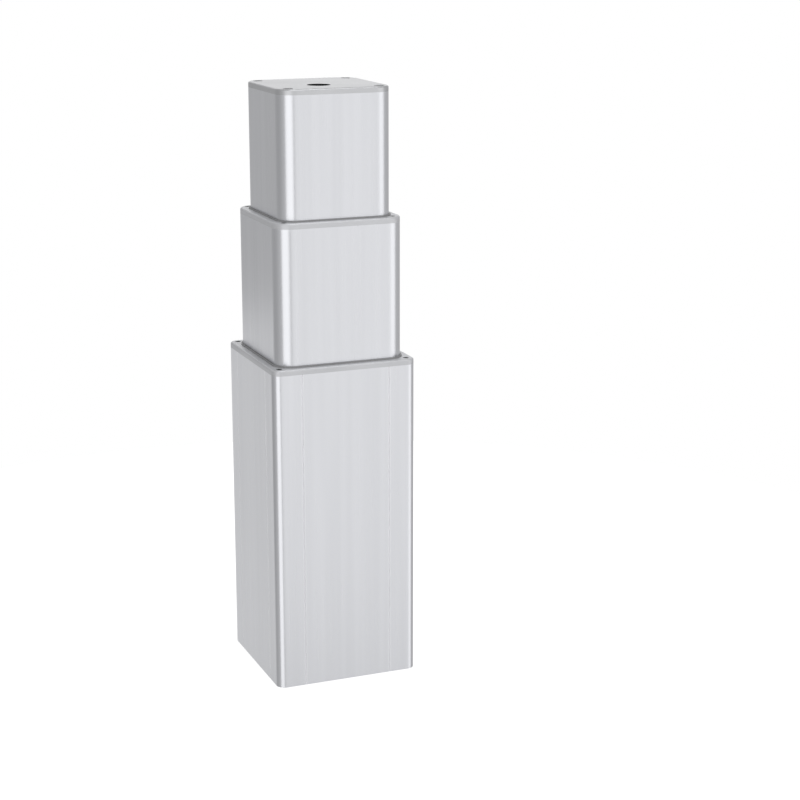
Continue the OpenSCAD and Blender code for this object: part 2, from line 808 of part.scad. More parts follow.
// Flanged nut, flange down, so that the stage's load presses on the flange
module nut(screw_r) {
    difference() {
        union() {
            cylinder(h = nut_h, r = screw_r + nut_wall);
            cylinder(h = nut_flange_t, r = screw_r + nut_wall + nut_flange_w);
        }
        translate([0, 0, -eps]) cylinder(h = nut_h + 1, r = screw_r + run_gap);
    }
}

module nut_seat(screw_r) {
    translate([0, 0, -eps]) cylinder(h = carrier_t + 1, r = screw_r + nut_wall + fit);
    translate([0, 0, -eps])
        cylinder(h = nut_flange_t + 2 * eps, r = screw_r + nut_wall + nut_flange_w + fit);
}

module lower_nut() {
    color("goldenrod") translate([-screw_x, 0, middle_foot_z]) nut(lower_r);
}

module upper_screw_bearing() {
    color("lightgray") translate([screw_x, 0, upper_bearing_z])
        bearing(upper_journal_r + run_gap, upper_journal_r + bearing_w - fit, bearing_h);
}

// Upper lifting screw, hollow for the hexagonal shaft
module upper_screw() {
    color("lightgray") translate([screw_x, 0, 0]) difference() {
        union() {
            translate([0, 0, middle_foot_z + 1])
                cylinder(h = carrier_t, r = upper_journal_r);
            translate([0, 0, middle_profile_z + fit])
                cylinder(h = screw_collar_t - fit, r = upper_r + 1);
            translate([0, 0, middle_profile_z + 1])
                cylinder(h = upper_screw_top_z - middle_profile_z - 1, r = upper_r);
        }
        translate([0, 0, middle_foot_z])
            cylinder(h = upper_screw_top_z - middle_foot_z + 1, r = upper_bore_r);
    }
}

module upper_screw_hex_bush() {
    color("goldenrod") translate([screw_x, 0, middle_foot_z + 1]) difference() {
        cylinder(h = bush_h, r = upper_bore_r - fit);
        translate([0, 0, -eps]) cylinder(h = bush_h + 1, r = hex_r + 0.15, $fn = 6);
    }
}

// Inner stage
module inner_profile() {
    color("gainsboro") translate([0, 0, inner_profile_z]) difference() {
        linear_extrude(inner_len)
            profile_section(inner_w, inner_corner_r, inner_wall, inner_port_x, top_boss_r,
                top_port_r);
        translate([0, 0, glide_h / 2 + 1]) glide_pockets(inner_w / 2, -1);
    }
}

module top_plate() {
    head_h = top_t - 1.6;
    color("silver") translate([0, 0, inner_top_z - top_t]) difference() {
        edged_slab(inner_w, inner_corner_r, top_t, edge_r);
        translate([cable_hole_x, cable_hole_y, -eps])
            cylinder(h = top_t + 2 * eps, d = cable_hole_d);
        for (c = corner) translate(c * inner_port_x) {
            translate([0, 0, -eps]) cylinder(h = top_t, r = top_screw_d / 2 + 0.2);
            translate([0, 0, top_t - head_h]) cylinder(h = top_t, d = top_head_d + 0.6);
        }
    }
}

module top_plate_screws() {
    head_h = top_t - 1.6;
    color("black") for (c = corner) translate([0, 0, inner_top_z - head_h])
        translate(c * inner_port_x)
            screw(2 * top_port_r - 0.1, top_head_d, head_h - 0.6, top_screw_len);
}

module inner_glides() {
    color("white") translate([0, 0, inner_profile_z + glide_h / 2 + 1])
        glides(inner_w / 2, glide_t, -1);
}

module inner_carrier() {
    color("darkgray") translate([0, 0, inner_foot_z]) difference() {
        carrier(inner_w, inner_corner_r, inner_port_x, top_screw_d, top_head_d);
        translate([screw_x, 0, 0]) nut_seat(upper_r);
        // The lower screw passes here, and its nut's top dips in when closed
        translate([-screw_x, 0, -eps])
            cylinder(h = carrier_t + 1, r = lower_r + nut_wall + nut_room);
    }
}

module inner_carrier_screws() {
    carrier_screws(inner_foot_z, inner_port_x, top_port_r, top_head_d);
}

module upper_nut() {
    color("goldenrod") translate([screw_x, 0, inner_foot_z]) nut(upper_r);
}

outer_profile();
base_plate();
base_plate_screws();
outer_collar();
outer_collar_screws();
outer_wiper();
outer_glides();
gearbox_base();
gearbox_tower();
gearbox_cover();
gearbox_screws();
gearbox_cover_screws();
worm_end_plug();
lower_screw_foot_bearing();
lower_screw_cover_bearing();
hex_shaft_foot_bearing();
hex_shaft_top_bearing();
worm_bearings();
motor_flange();
motor_can();
motor_magnets();
motor_end_cap();
motor_bolts();
brush_holder();
lower_screw();
worm_wheel();
drive_gear();
hex_shaft();
driven_gear();
worm_shaft();
armature();
commutator();
middle_profile();
middle_collar();
middle_collar_screws();
middle_wiper();
middle_upper_glides();
middle_lower_glides();
middle_carrier();
middle_carrier_screws();
lower_nut();
upper_screw_bearing();
upper_screw();
upper_screw_hex_bush();
inner_profile();
top_plate();
top_plate_screws();
inner_glides();
inner_carrier();
inner_carrier_screws();
upper_nut();
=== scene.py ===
import json
import math

import bpy
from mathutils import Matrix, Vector


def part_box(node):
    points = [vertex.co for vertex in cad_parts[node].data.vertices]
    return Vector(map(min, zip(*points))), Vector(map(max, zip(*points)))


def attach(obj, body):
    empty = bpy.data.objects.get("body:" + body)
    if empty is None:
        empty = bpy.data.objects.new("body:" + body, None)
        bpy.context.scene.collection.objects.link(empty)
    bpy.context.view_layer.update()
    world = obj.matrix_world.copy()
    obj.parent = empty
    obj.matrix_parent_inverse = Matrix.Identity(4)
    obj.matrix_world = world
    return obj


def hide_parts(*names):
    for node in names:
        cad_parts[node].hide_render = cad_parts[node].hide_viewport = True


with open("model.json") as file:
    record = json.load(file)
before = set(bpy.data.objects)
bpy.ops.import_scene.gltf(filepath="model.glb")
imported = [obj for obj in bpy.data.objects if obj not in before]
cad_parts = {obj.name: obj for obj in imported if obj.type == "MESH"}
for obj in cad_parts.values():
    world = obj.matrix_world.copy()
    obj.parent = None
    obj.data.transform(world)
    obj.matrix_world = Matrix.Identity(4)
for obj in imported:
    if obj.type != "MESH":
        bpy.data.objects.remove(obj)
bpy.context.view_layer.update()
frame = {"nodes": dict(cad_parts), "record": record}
nodes = frame["nodes"]
print("frame loaded:", len(nodes), "pieces")


def newTree(name, inputs, outputs):
    group = bpy.data.node_groups.new(name, "ShaderNodeTree")
    for label, value in inputs:
        socket = group.interface.new_socket(label, in_out="INPUT", socket_type="NodeSocketFloat")
        socket.default_value = value
    for label in outputs:
        group.interface.new_socket(label, in_out="OUTPUT", socket_type="NodeSocketFloat")
    return group, group.nodes.new("NodeGroupInput"), group.nodes.new("NodeGroupOutput")


def place(tree, kind, **settings):
    node = tree.nodes.new(kind)
    for key, value in settings.items():
        setattr(node, key, value)
    return node


def feed(tree, socket, value):
    # another node's socket is linked, a plain value is set
    if isinstance(value, bpy.types.NodeSocket):
        tree.links.new(value, socket)
    else:
        socket.default_value = value


def stretched(tree, upright=1.0):
    # the piece's own coordinates, drawn out along Z when upright is small
    coords = place(tree, "ShaderNodeTexCoord")
    mapping = place(tree, "ShaderNodeMapping")
    mapping.inputs["Scale"].default_value = (1, 1, upright)
    tree.links.new(coords.outputs["Object"], mapping.inputs["Vector"])
    return mapping.outputs["Vector"]


def noise(tree, vector, scale, detail, rough=0.5):
    node = place(tree, "ShaderNodeTexNoise")
    feed(tree, node.inputs["Scale"], scale)
    node.inputs["Detail"].default_value = detail
    node.inputs["Roughness"].default_value = rough
    tree.links.new(vector, node.inputs["Vector"])
    return node.outputs["Fac"]


def mapped(tree, value, low, high, fromLow=0.3, fromHigh=0.7):
    node = place(tree, "ShaderNodeMapRange")
    node.inputs["From Min"].default_value = fromLow
    node.inputs["From Max"].default_value = fromHigh
    node.inputs["To Min"].default_value = low
    node.inputs["To Max"].default_value = high
    tree.links.new(value, node.inputs["Value"])
    return node.outputs["Result"]


def mathStep(tree, operation, first, second=None):
    step = place(tree, "ShaderNodeMath", operation=operation)
    feed(tree, step.inputs[0], first)
    if second is not None:
        feed(tree, step.inputs[1], second)
    return step.outputs["Value"]


def vectorStep(tree, operation, first, second=None, output="Vector"):
    step = place(tree, "ShaderNodeVectorMath", operation=operation)
    tree.links.new(first, step.inputs[0])
    if second is not None:
        step.inputs[1].default_value = second
    return step.outputs[output]


lineLook = {
    # scale, detail, roughness, and how far the noise is drawn out along the column
    "fine": {"scale": 1600, "detail": 3, "rough": 0.6, "upright": 0.004},
    "tone": {"scale": 90, "detail": 2, "rough": 0.5, "upright": 0.02},
}
grainLook = {"detail": 3, "cloudScale": 14}


def buildExtrusionLines():
    # long fine lines left by the extrusion die, and the slow change of tone between them
    group, _, end = newTree("extrusionLines", [], ["Lines", "Tone"])
    for look, label in (("fine", "Lines"), ("tone", "Tone")):
        kind = lineLook[look]
        value = noise(group, stretched(group, kind["upright"]), kind["scale"], kind["detail"], kind["rough"])
        group.links.new(value, end.inputs[label])
    return group


def buildFineGrain():
    # even matt grain of blasted, cast or moulded surfaces, at the density given
    group, start, end = newTree("fineGrain", [("Density", 900.0)], ["Grain", "Cloud"])
    vector = stretched(group)
    grain = noise(group, vector, start.outputs["Density"], grainLook["detail"])
    cloud = noise(group, vector, grainLook["cloudScale"], grainLook["detail"])
    group.links.new(grain, end.inputs["Grain"])
    group.links.new(cloud, end.inputs["Cloud"])
    return group


groups = {"extrusionLines": buildExtrusionLines(), "fineGrain": buildFineGrain()}


def useGroup(tree, name, **values):
    node = place(tree, "ShaderNodeGroup")
    node.node_tree = groups[name]
    for label, value in values.items():
        node.inputs[label].default_value = value
    return node


def newMaterial(name):
    material = bpy.data.materials.new(name)
    material.use_nodes = True
    shader = material.node_tree.nodes["Principled BSDF"]
    return material, material.node_tree, shader


def tinted(tree, factor, dark, light):
    # colours mixed by a mask; either may be a socket
    mix = place(tree, "ShaderNodeMix", data_type="RGBA")
    for label, colour in (("A", dark), ("B", light)):
        feed(tree, mix.inputs[label], (*colour, 1) if isinstance(colour, tuple) else colour)
    tree.links.new(factor, mix.inputs["Factor"])
    return mix.outputs["Result"]


def blended(tree, factor, first, second):
    # numbers mixed by a mask; either may be a socket
    mix = place(tree, "ShaderNodeMix")
    feed(tree, mix.inputs["A"], first)
    feed(tree, mix.inputs["B"], second)
    tree.links.new(factor, mix.inputs["Factor"])
    return mix.outputs["Result"]


def bumped(tree, shader, height, distance):
    bump = place(tree, "ShaderNodeBump")
    bump.inputs["Distance"].default_value = distance
    bump.inputs["Strength"].default_value = 1.0
    tree.links.new(height, bump.inputs["Height"])
    tree.links.new(bump.outputs["Normal"], shader.inputs["Normal"])


profileFinish = {
    "dark": (0.762, 0.770, 0.800),
    "light": (0.797, 0.805, 0.836),
    "roughness": (0.27, 0.31),
    "lineDepth": 0.000004,
    "inside": (0.16, 0.16, 0.165),   # painted shade: the inner walls are coloured dark so the tube reads dark inside; their mill finish is dull
    "insideRoughness": 0.7,
    "cut": (0.90, 0.90, 0.92),       # matt ground of the grooves cut in the faces
    "cutRoughness": 0.75,
    "grooveAt": 0.049,               # the outer faces' grooves, from the middle of a face
    "grooveHighlightBand": (0.0006, 0.0022),  # painted highlight: brighter band along each groove, full and faded out
    # colour of the painted highlight beside the grooves
    "grooveHighlight": (0.86, 0.868, 0.895),
    "skin": 0.0019,                  # depth that the outer finish reaches
    "skinEdge": 0.0003,              # how softly it ends there
    "faceEdge": (0.0003, 0.0001),    # where a face turns into the ground of a groove
    "rounding": {"outer_profile": 0.0095, "middle_profile": 0.019, "inner_profile": 0.019},
}


def faceDepth(tree, half, rounding):
    # grows to the value of rounding on the outer face of a square tube, less further in
    flat = half - rounding
    way = vectorStep(tree, "ABSOLUTE", place(tree, "ShaderNodeTexCoord").outputs["Object"])
    way = vectorStep(tree, "SUBTRACT", way, (flat, flat, 0))
    way = vectorStep(tree, "MAXIMUM", way, (0, 0, 0))
    way = vectorStep(tree, "MULTIPLY", way, (1, 1, 0))
    return vectorStep(tree, "LENGTH", way, output="Value")


def grooveHighlightMask(tree):
    # 1 along the grooves in the faces, fading to 0 beside them: the mask of the painted highlight
    axes = place(tree, "ShaderNodeSeparateXYZ")
    apart = vectorStep(tree, "ABSOLUTE", place(tree, "ShaderNodeTexCoord").outputs["Object"])
    tree.links.new(apart, axes.inputs["Vector"])
    along = mathStep(tree, "MINIMUM", axes.outputs["X"], axes.outputs["Y"])
    offset = mathStep(tree, "SUBTRACT", along, profileFinish["grooveAt"])
    near, far = profileFinish["grooveHighlightBand"]
    return mapped(tree, mathStep(tree, "ABSOLUTE", offset), 1, 0, near, far)


def makeProfileAluminium(node):
    # anodised skin outside, with a painted highlight beside the outer tube's grooves, matt ground in the
    # grooves, dull inner walls coloured dark as painted shade
    finish = profileFinish
    material, tree, shader = newMaterial(node + "_aluminium")
    low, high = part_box(node)
    rounding = finish["rounding"][node]
    reach = faceDepth(tree, (high[0] - low[0]) / 2, rounding)
    skinEnd = rounding - finish["skin"]
    outside = mapped(tree, reach, 0, 1, skinEnd, skinEnd + finish["skinEdge"])
    deeper, shallower = finish["faceEdge"]
    face = mapped(tree, reach, 0, 1, rounding - deeper, rounding - shallower)
    lines = useGroup(tree, "extrusionLines")
    shader.inputs["Metallic"].default_value = 1.0
    tone = mapped(tree, lines.outputs["Tone"], 0, 1)
    anodised = tinted(tree, tone, finish["dark"], finish["light"])
    if node == "outer_profile":
        # painted highlight: the outer tube's face is coloured lighter beside each groove
        anodised = tinted(tree, grooveHighlightMask(tree), anodised, finish["grooveHighlight"])
    skin = tinted(tree, face, finish["cut"], anodised)
    # the inner walls take the dark painted-shade colour
    tree.links.new(tinted(tree, outside, finish["inside"], skin), shader.inputs["Base Color"])
    satin = mapped(tree, lines.outputs["Lines"], *finish["roughness"])
    skinRoughness = blended(tree, face, finish["cutRoughness"], satin)
    roughness = blended(tree, outside, finish["insideRoughness"], skinRoughness)
    tree.links.new(roughness, shader.inputs["Roughness"])
    bumped(tree, shader, lines.outputs["Lines"], finish["lineDepth"])
    return material


def makeGrained(name, dark, light, metallic, roughness, density, depth):
    material, tree, shader = newMaterial(name)
    grain = useGroup(tree, "fineGrain", Density=density)
    shader.inputs["Metallic"].default_value = metallic
    tone = mapped(tree, grain.outputs["Cloud"], 0, 1)
    tree.links.new(tinted(tree, tone, dark, light), shader.inputs["Base Color"])
    tree.links.new(mapped(tree, grain.outputs["Grain"], *roughness), shader.inputs["Roughness"])
    bumped(tree, shader, grain.outputs["Grain"], depth)
    return material


topPlateFinish = {
    "dark": (0.585, 0.59, 0.605),
    "light": (0.645, 0.65, 0.665),
    "roughness": (0.36, 0.42),
    "metallic": 0.9,
    "density": 1500,
    "depth": 0.00001,
    "bore": 0.10,                    # roughness of the smooth bored cable hole
    "boreEdge": (0.0001, 0.0002),    # where the bore's finish turns into the plate's
}


def makeTopPlate():
    # matt plate, with the wall of its cable hole bored smooth
    finish = topPlateFinish
    hole = next(mount for mount in frame["record"]["mounts"] if mount["name"] == "cable_hole")
    boreRadius = hole["dims"]["r_mm"] / 1000
    material, tree, shader = newMaterial("topPlateAluminium")
    coords = place(tree, "ShaderNodeTexCoord").outputs["Object"]
    spot = vectorStep(tree, "SUBTRACT", coords, (hole["pos_m"][0], hole["pos_m"][1], 0))
    flat = vectorStep(tree, "MULTIPLY", spot, (1, 1, 0))
    radius = vectorStep(tree, "LENGTH", flat, output="Value")
    near, far = finish["boreEdge"]
    plate = mapped(tree, radius, 0, 1, boreRadius + near, boreRadius + far)
    grain = useGroup(tree, "fineGrain", Density=finish["density"])
    tree.links.new(blended(tree, plate, 1.0, finish["metallic"]), shader.inputs["Metallic"])
    tone = mapped(tree, grain.outputs["Cloud"], 0, 1)
    tree.links.new(tinted(tree, tone, finish["dark"], finish["light"]), shader.inputs["Base Color"])
    matt = mapped(tree, grain.outputs["Grain"], *finish["roughness"])
    tree.links.new(blended(tree, plate, finish["bore"], matt), shader.inputs["Roughness"])
    bumped(tree, shader, grain.outputs["Grain"], finish["depth"])
    return material


def camelName(slotName):
    first, *others = slotName.split("_")
    return first + "".join(word.capitalize() for word in others)


grainedFinishes = {
    # darkest and lightest colour, metallic, roughness from and to, grain density, grain depth
    "collar_aluminium": ((0.575, 0.58, 0.60), (0.63, 0.635, 0.655), 0.55, (0.40, 0.46), 1500, 0.00001),
    "plate_aluminium": ((0.66, 0.665, 0.67), (0.72, 0.725, 0.73), 1.0, (0.30, 0.42), 700, 0.00001),
    "cast_housing": ((0.46, 0.47, 0.48), (0.56, 0.57, 0.58), 1.0, (0.45, 0.60), 500, 0.00006),
    "black_screws": ((0.02, 0.02, 0.022), (0.035, 0.035, 0.04), 0.8, (0.38, 0.50), 2000, 0.00001),
    "zinc_screws": ((0.55, 0.57, 0.58), (0.66, 0.66, 0.62), 1.0, (0.28, 0.38), 1500, 0.00001),
    "wiper_rubber": ((0.25, 0.25, 0.255), (0.28, 0.28, 0.285), 0.0, (0.45, 0.58), 1800, 0.00002),
    "glide_plastic": ((0.80, 0.80, 0.76), (0.86, 0.86, 0.83), 0.0, (0.40, 0.50), 800, 0.00002),
    "bearing_steel": ((0.60, 0.61, 0.62), (0.68, 0.69, 0.70), 1.0, (0.14, 0.20), 2500, 0.000002),
    "screw_steel": ((0.46, 0.47, 0.48), (0.56, 0.57, 0.57), 1.0, (0.22, 0.32), 1500, 0.000006),
    "gear_steel": ((0.34, 0.35, 0.36), (0.42, 0.43, 0.44), 1.0, (0.30, 0.40), 1200, 0.000006),
    "bronze": ((0.60, 0.36, 0.14), (0.72, 0.46, 0.20), 1.0, (0.26, 0.38), 1200, 0.000006),
    "motor_steel": ((0.50, 0.51, 0.52), (0.58, 0.59, 0.60), 1.0, (0.24, 0.34), 900, 0.000006),
    "magnet_ferrite": ((0.04, 0.04, 0.045), (0.07, 0.07, 0.075), 0.3, (0.60, 0.75), 900, 0.00003),
    "black_plastic": ((0.02, 0.02, 0.022), (0.03, 0.03, 0.032), 0.0, (0.42, 0.55), 1100, 0.00002),
    "brush_plastic": ((0.28, 0.15, 0.06), (0.36, 0.20, 0.08), 0.0, (0.40, 0.52), 1100, 0.00002),
    "armature_iron": ((0.22, 0.21, 0.20), (0.30, 0.28, 0.27), 1.0, (0.40, 0.55), 900, 0.00001),
    "commutator_copper": ((0.72, 0.30, 0.16), (0.82, 0.40, 0.22), 1.0, (0.20, 0.32), 1500, 0.000004),
}

ownMaterials = {node: makeProfileAluminium(node) for node in profileFinish["rounding"]}
ownMaterials["top_plate"] = makeTopPlate()
materials = {slotName: makeGrained(camelName(slotName), *finish)
             for slotName, finish in grainedFinishes.items()}

slotOf = {entry["node"]: entry["material_slot"] for entry in frame["record"]["subparts"]}


def finishCad():
    for name, piece in nodes.items():
        material = ownMaterials.get(name) or materials[slotOf[name]]
        if piece.material_slots:
            for holder in piece.material_slots:
                holder.material = material
        else:
            piece.data.materials.append(material)


finishCad()
print("materials:", len(materials) + len(ownMaterials))


def clearSelection():
    if bpy.context.object and bpy.context.object.mode != "OBJECT":
        bpy.ops.object.mode_set(mode="OBJECT")
    bpy.ops.object.select_all(action="DESELECT")


def setPlace(piece):
    # puts place, turn and scale into the mesh
    clearSelection()
    piece.select_set(True)
    bpy.context.view_layer.objects.active = piece
    bpy.ops.object.transform_apply(location=True, rotation=True, scale=True)


def applyAll(piece):
    clearSelection()
    piece.select_set(True)
    bpy.context.view_layer.objects.active = piece
    for modifier in list(piece.modifiers):
        bpy.ops.object.modifier_apply(modifier=modifier.name)


def joined(name, parts):
    clearSelection()
    for part in parts:
        part.select_set(True)
    bpy.context.view_layer.objects.active = parts[0]
    if len(parts) > 1:
        bpy.ops.object.join()
    piece = bpy.context.object
    piece.name = name
    return piece


def finished(piece, body, slotName, smoothBelow=40):
    setPlace(piece)
    bpy.ops.object.shade_smooth_by_angle(angle=math.radians(smoothBelow))
    piece.data.materials.clear()
    piece.data.materials.append(materials[slotName])
    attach(piece, body)
    return piece


def copied(piece, move=(0, 0, 0), turn=(0, 0, 0)):
    other = piece.copy()
    other.data = piece.data.copy()
    bpy.context.scene.collection.objects.link(other)
    other.location = move
    other.rotation_euler = turn
    setPlace(other)
    return other


def copiedRound(piece, number):
    # the piece and its copies, spaced evenly round the Z axis
    turns = [2 * math.pi * count / number for count in range(1, number)]
    return [piece] + [copied(piece, turn=(0, 0, turn)) for turn in turns]


def faceOutward():
    bpy.ops.mesh.select_all(action="SELECT")
    bpy.ops.mesh.normals_make_consistent(inside=False)
    bpy.ops.object.mode_set(mode="OBJECT")


def chooseCorners(piece, wanted):
    # selects the corners that the rule wants, and goes on in edit mode
    bpy.ops.object.mode_set(mode="EDIT")
    bpy.ops.mesh.select_mode(type="VERT")
    bpy.ops.mesh.select_all(action="DESELECT")
    bpy.ops.object.mode_set(mode="OBJECT")
    for corner in piece.data.vertices:
        corner.select = wanted(corner)
    bpy.ops.object.mode_set(mode="EDIT")


def turned(name, steps, around=48):
    # a turned part: steps are (radius, height) from the foot up
    clearSelection()
    radius, height = steps[0]
    bpy.ops.mesh.primitive_circle_add(vertices=around, radius=radius, fill_type="NGON",
                                      location=(0, 0, height))
    piece = bpy.context.object
    piece.name = name
    setPlace(piece)
    bpy.ops.object.mode_set(mode="EDIT")
    bpy.ops.mesh.select_all(action="SELECT")
    for nextRadius, nextHeight in steps[1:]:
        bpy.ops.mesh.extrude_region_move(TRANSFORM_OT_translate={"value": (0, 0, nextHeight - height)})
        share = nextRadius / radius
        bpy.ops.transform.resize(value=(share, share, 1), center_override=(0, 0, nextHeight))
        radius, height = nextRadius, nextHeight
    faceOutward()
    return piece


def helix(name, coreR, tipR, lead, starts, low, high, wide, crest,
          leftHand=False, perTurn=28, startTurn=0.0):
    # a raised thread round the Z axis: wide at the core, crest across at the tip
    clearSelection()
    turns = (high - low - wide) / lead
    bpy.ops.mesh.primitive_plane_add(size=1, location=((coreR + tipR) / 2, 0, low + wide / 2),
                                     rotation=(math.pi / 2, 0, 0))
    ridge = bpy.context.object
    ridge.scale = (tipR - coreR, wide, 1)
    setPlace(ridge)
    chooseCorners(ridge, lambda corner: corner.co.x > (coreR + tipR) / 2)
    bpy.ops.transform.resize(value=(1, 1, crest / wide), center_override=(tipR, 0, low + wide / 2))
    bpy.ops.mesh.select_all(action="SELECT")
    bpy.ops.mesh.delete(type="ONLY_FACE")
    bpy.ops.object.mode_set(mode="OBJECT")
    screwing = ridge.modifiers.new("screwing", "SCREW")
    screwing.axis = "Z"
    screwing.angle = 2 * math.pi * turns * (-1 if leftHand else 1)
    screwing.screw_offset = lead * turns
    screwing.steps = screwing.render_steps = round(perTurn * turns)
    applyAll(ridge)
    number = len(ridge.data.vertices)
    for ending in (range(4), range(number - 4, number)):
        chooseCorners(ridge, lambda corner: corner.index in ending)
        bpy.ops.mesh.edge_face_add()
        bpy.ops.object.mode_set(mode="OBJECT")
    bpy.ops.object.mode_set(mode="EDIT")
    faceOutward()
    ridge.rotation_euler = (0, 0, startTurn)
    setPlace(ridge)
    return joined(name, copiedRound(ridge, starts))


lowerThread = {
    # all lengths in metres
    "lead": 0.008,
    "starts": 2,
    "depth": 0.0022,
    "foot": 0.0024,      # width of the ridge at the core, and its crest at the tip
    "crest": 0.0013,
    "bite": 0.0003,      # how far the ridge reaches into the core
    "runIn": 0.001,      # from the start of the core to the ridge
    "taper": 0.0008,     # from the journal down to the core
    "end": 0.0015,       # height and depth of the bevel at the top
    "tip": 0.0012,
    "journal": 0.001,    # how much smaller than the thread, through the gears
    "neck": 0.004,       # the same, in the foot bearing
    "bevel": 0.0005,     # of the neck's lower edge
    "clear": 0.0004,     # gap to the gear and the cover
}
upperThread = {
    "lead": 0.007,
    "starts": 2,
    "depth": 0.0019,
    "foot": 0.0021,
    "crest": 0.0012,
    "bite": 0.0003,
    "runIn": 0.001,
    "end": 0.0015,
    "tip": 0.0008,
    "collar": 0.001,     # how much larger than the thread
    "collarLength": 0.0039,
    "neck": 0.002,       # how much smaller than the thread, in the bearing
    "bevel": 0.0005,
    "clear": 0.0001,     # gap between collar and carrier
    "boreGap": 0.00005,  # round the hexagonal bush
    "borePast": 0.02,    # how much longer than the screw its cutter is
}


def sizeOf(node):
    low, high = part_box(node)
    return low, high, (low + high) / 2


def cut(piece, tool):
    cutting = piece.modifiers.new("cutting", "BOOLEAN")
    cutting.operation = "DIFFERENCE"
    cutting.object = tool
    applyAll(piece)
    bpy.data.objects.remove(tool)


def bored(piece, radius, depth, height=0.0, around=48):
    # cuts a hole along the Z axis
    bpy.ops.mesh.primitive_cylinder_add(vertices=around, radius=radius, depth=depth,
                                        location=(0, 0, height))
    cut(piece, bpy.context.object)


def makeLowerScrew():
    thread = lowerThread
    low, high, middle = sizeOf("lower_screw")
    outer = (high.x - low.x) / 2
    coreR = outer - thread["depth"]
    journalR = outer - thread["journal"]
    neckR = outer - thread["neck"]
    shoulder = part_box("drive_gear")[0].z - thread["clear"]
    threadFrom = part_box("gearbox_cover")[1].z + thread["clear"]
    threadTo = high.z - thread["end"]
    shaft = turned("lowerScrewShaft", [
        (neckR - thread["bevel"], low.z), (neckR, low.z + thread["bevel"]), (neckR, shoulder),
        (journalR, shoulder), (journalR, threadFrom), (coreR, threadFrom + thread["taper"]),
        (coreR, threadTo), (coreR - thread["tip"], high.z)])
    ridge = helix("lowerScrewThread", coreR - thread["bite"], outer, thread["lead"], thread["starts"],
                  threadFrom + thread["runIn"], threadTo, thread["foot"], thread["crest"])
    screw = joined("lowerScrewThreaded", [shaft, ridge])
    screw.location = (middle.x, middle.y, 0)
    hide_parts("lower_screw")
    return finished(screw, "lower_screw_set", "screw_steel")


def makeUpperScrew():
    thread = upperThread
    low, high, middle = sizeOf("upper_screw")
    bushLow, bushHigh, _ = sizeOf("upper_screw_hex_bush")
    collarR = (high.x - low.x) / 2
    outer = collarR - thread["collar"]
    coreR = outer - thread["depth"]
    neckR = outer - thread["neck"]
    boreR = (bushHigh.y - bushLow.y) / 2 + thread["boreGap"]
    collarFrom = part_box("middle_carrier")[1].z + thread["clear"]
    collarTo = collarFrom + thread["collarLength"]
    threadTo = high.z - thread["end"]
    shaft = turned("upperScrewShaft", [
        (neckR - thread["bevel"], low.z), (neckR, low.z + thread["bevel"]), (neckR, collarFrom),
        (collarR, collarFrom), (collarR, collarTo), (coreR, collarTo), (coreR, threadTo),
        (coreR - thread["tip"], high.z)])
    bored(shaft, boreR, high.z - low.z + thread["borePast"], (low.z + high.z) / 2)
    ridge = helix("upperScrewThread", coreR - thread["bite"], outer, thread["lead"], thread["starts"],
                  collarTo + thread["runIn"], threadTo, thread["foot"], thread["crest"], leftHand=True)
    screw = joined("upperScrewThreaded", [shaft, ridge])
    screw.location = (middle.x, middle.y, 0)
    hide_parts("upper_screw")
    return finished(screw, "upper_screw_set", "screw_steel")


worm = {
    "starts": 2,
    "module": 0.0015,
    "tipR": 0.009,
    "coreR": 0.0056,
    "foot": 0.0028,
    "crest": 0.0008,
    "bite": 0.0003,
    "fromPlug": 0.0105,  # from the plug's outer end to the thread, and from the thread to the flange
    "toFlange": 0.0065,
}


def makeWorm():
    # the thread that drives the wheel, turned so that its gap meets the wheel's tooth
    axis = sizeOf("worm_shaft")[2]
    wheel = sizeOf("worm_wheel")[2]
    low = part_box("worm_end_plug")[0].x + worm["fromPlug"]
    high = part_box("motor_flange")[0].x - worm["toFlange"]
    pitch = math.pi * worm["module"]
    lead = pitch * worm["starts"]
    gap = wheel.x + pitch / 2
    startTurn = 2 * math.pi * (0.75 - (gap - low - worm["foot"] / 2) / lead)
    thread = helix("wormThread", worm["coreR"] - worm["bite"], worm["tipR"], lead, worm["starts"],
                   low, high, worm["foot"], worm["crest"], startTurn=startTurn)
    thread.rotation_euler = (0, math.pi / 2, 0)
    thread.location = (0, axis.y, axis.z)
    return finished(thread, "motor_rotor", "screw_steel")


screwThreads = {
    # pitch and depth in metres
    "small": {"pitch": 0.0014, "depth": 0.0004},
    "fine": {"pitch": 0.0008, "depth": 0.0004},
    "large": {"pitch": 0.001, "depth": 0.0005},
}
screwKinds = {
    "top_plate_screws": {"body": "inner_stage", "slot": "black_screws", "thread": "large"},
    "outer_collar_screws": {"body": "outer_stage", "slot": "black_screws", "thread": "small"},
    "middle_collar_screws": {"body": "middle_stage", "slot": "black_screws", "thread": "small"},
    "base_plate_screws": {"body": "outer_stage", "slot": "zinc_screws", "thread": "small"},
    "middle_carrier_screws": {"body": "middle_stage", "slot": "zinc_screws", "thread": "small"},
    "inner_carrier_screws": {"body": "inner_stage", "slot": "zinc_screws", "thread": "large"},
    "gearbox_screws": {"body": "outer_stage", "slot": "zinc_screws", "thread": "fine"},
    "gearbox_cover_screws": {"body": "outer_stage", "slot": "zinc_screws", "thread": "small"},
}
screwShape = {
    "bevel": 0.1,                    # of the head, as a share of its radius
    "socket": 0.5,                   # the hexagon's radius, as a share of the head's
    "socketAt": 0.95,                # its middle, as a share of the head's height
    "tip": 0.7,                      # the point's radius, as a share of the core's
    "tipLength": 0.001,
    "threadEnd": 0.0008,             # this and the next two are below the head
    "coreEnd": 0.0006,
    "shankStart": 0.0001,
    "bite": 0.0001,
    "foot": 0.7,                     # the ridge's foot and crest, as shares of the pitch
    "crest": 0.15,
}
mergeBelow = 0.000002
rimShare = 0.97      # a corner is on the head's rim from this share of its radius on
touching = 0.0001


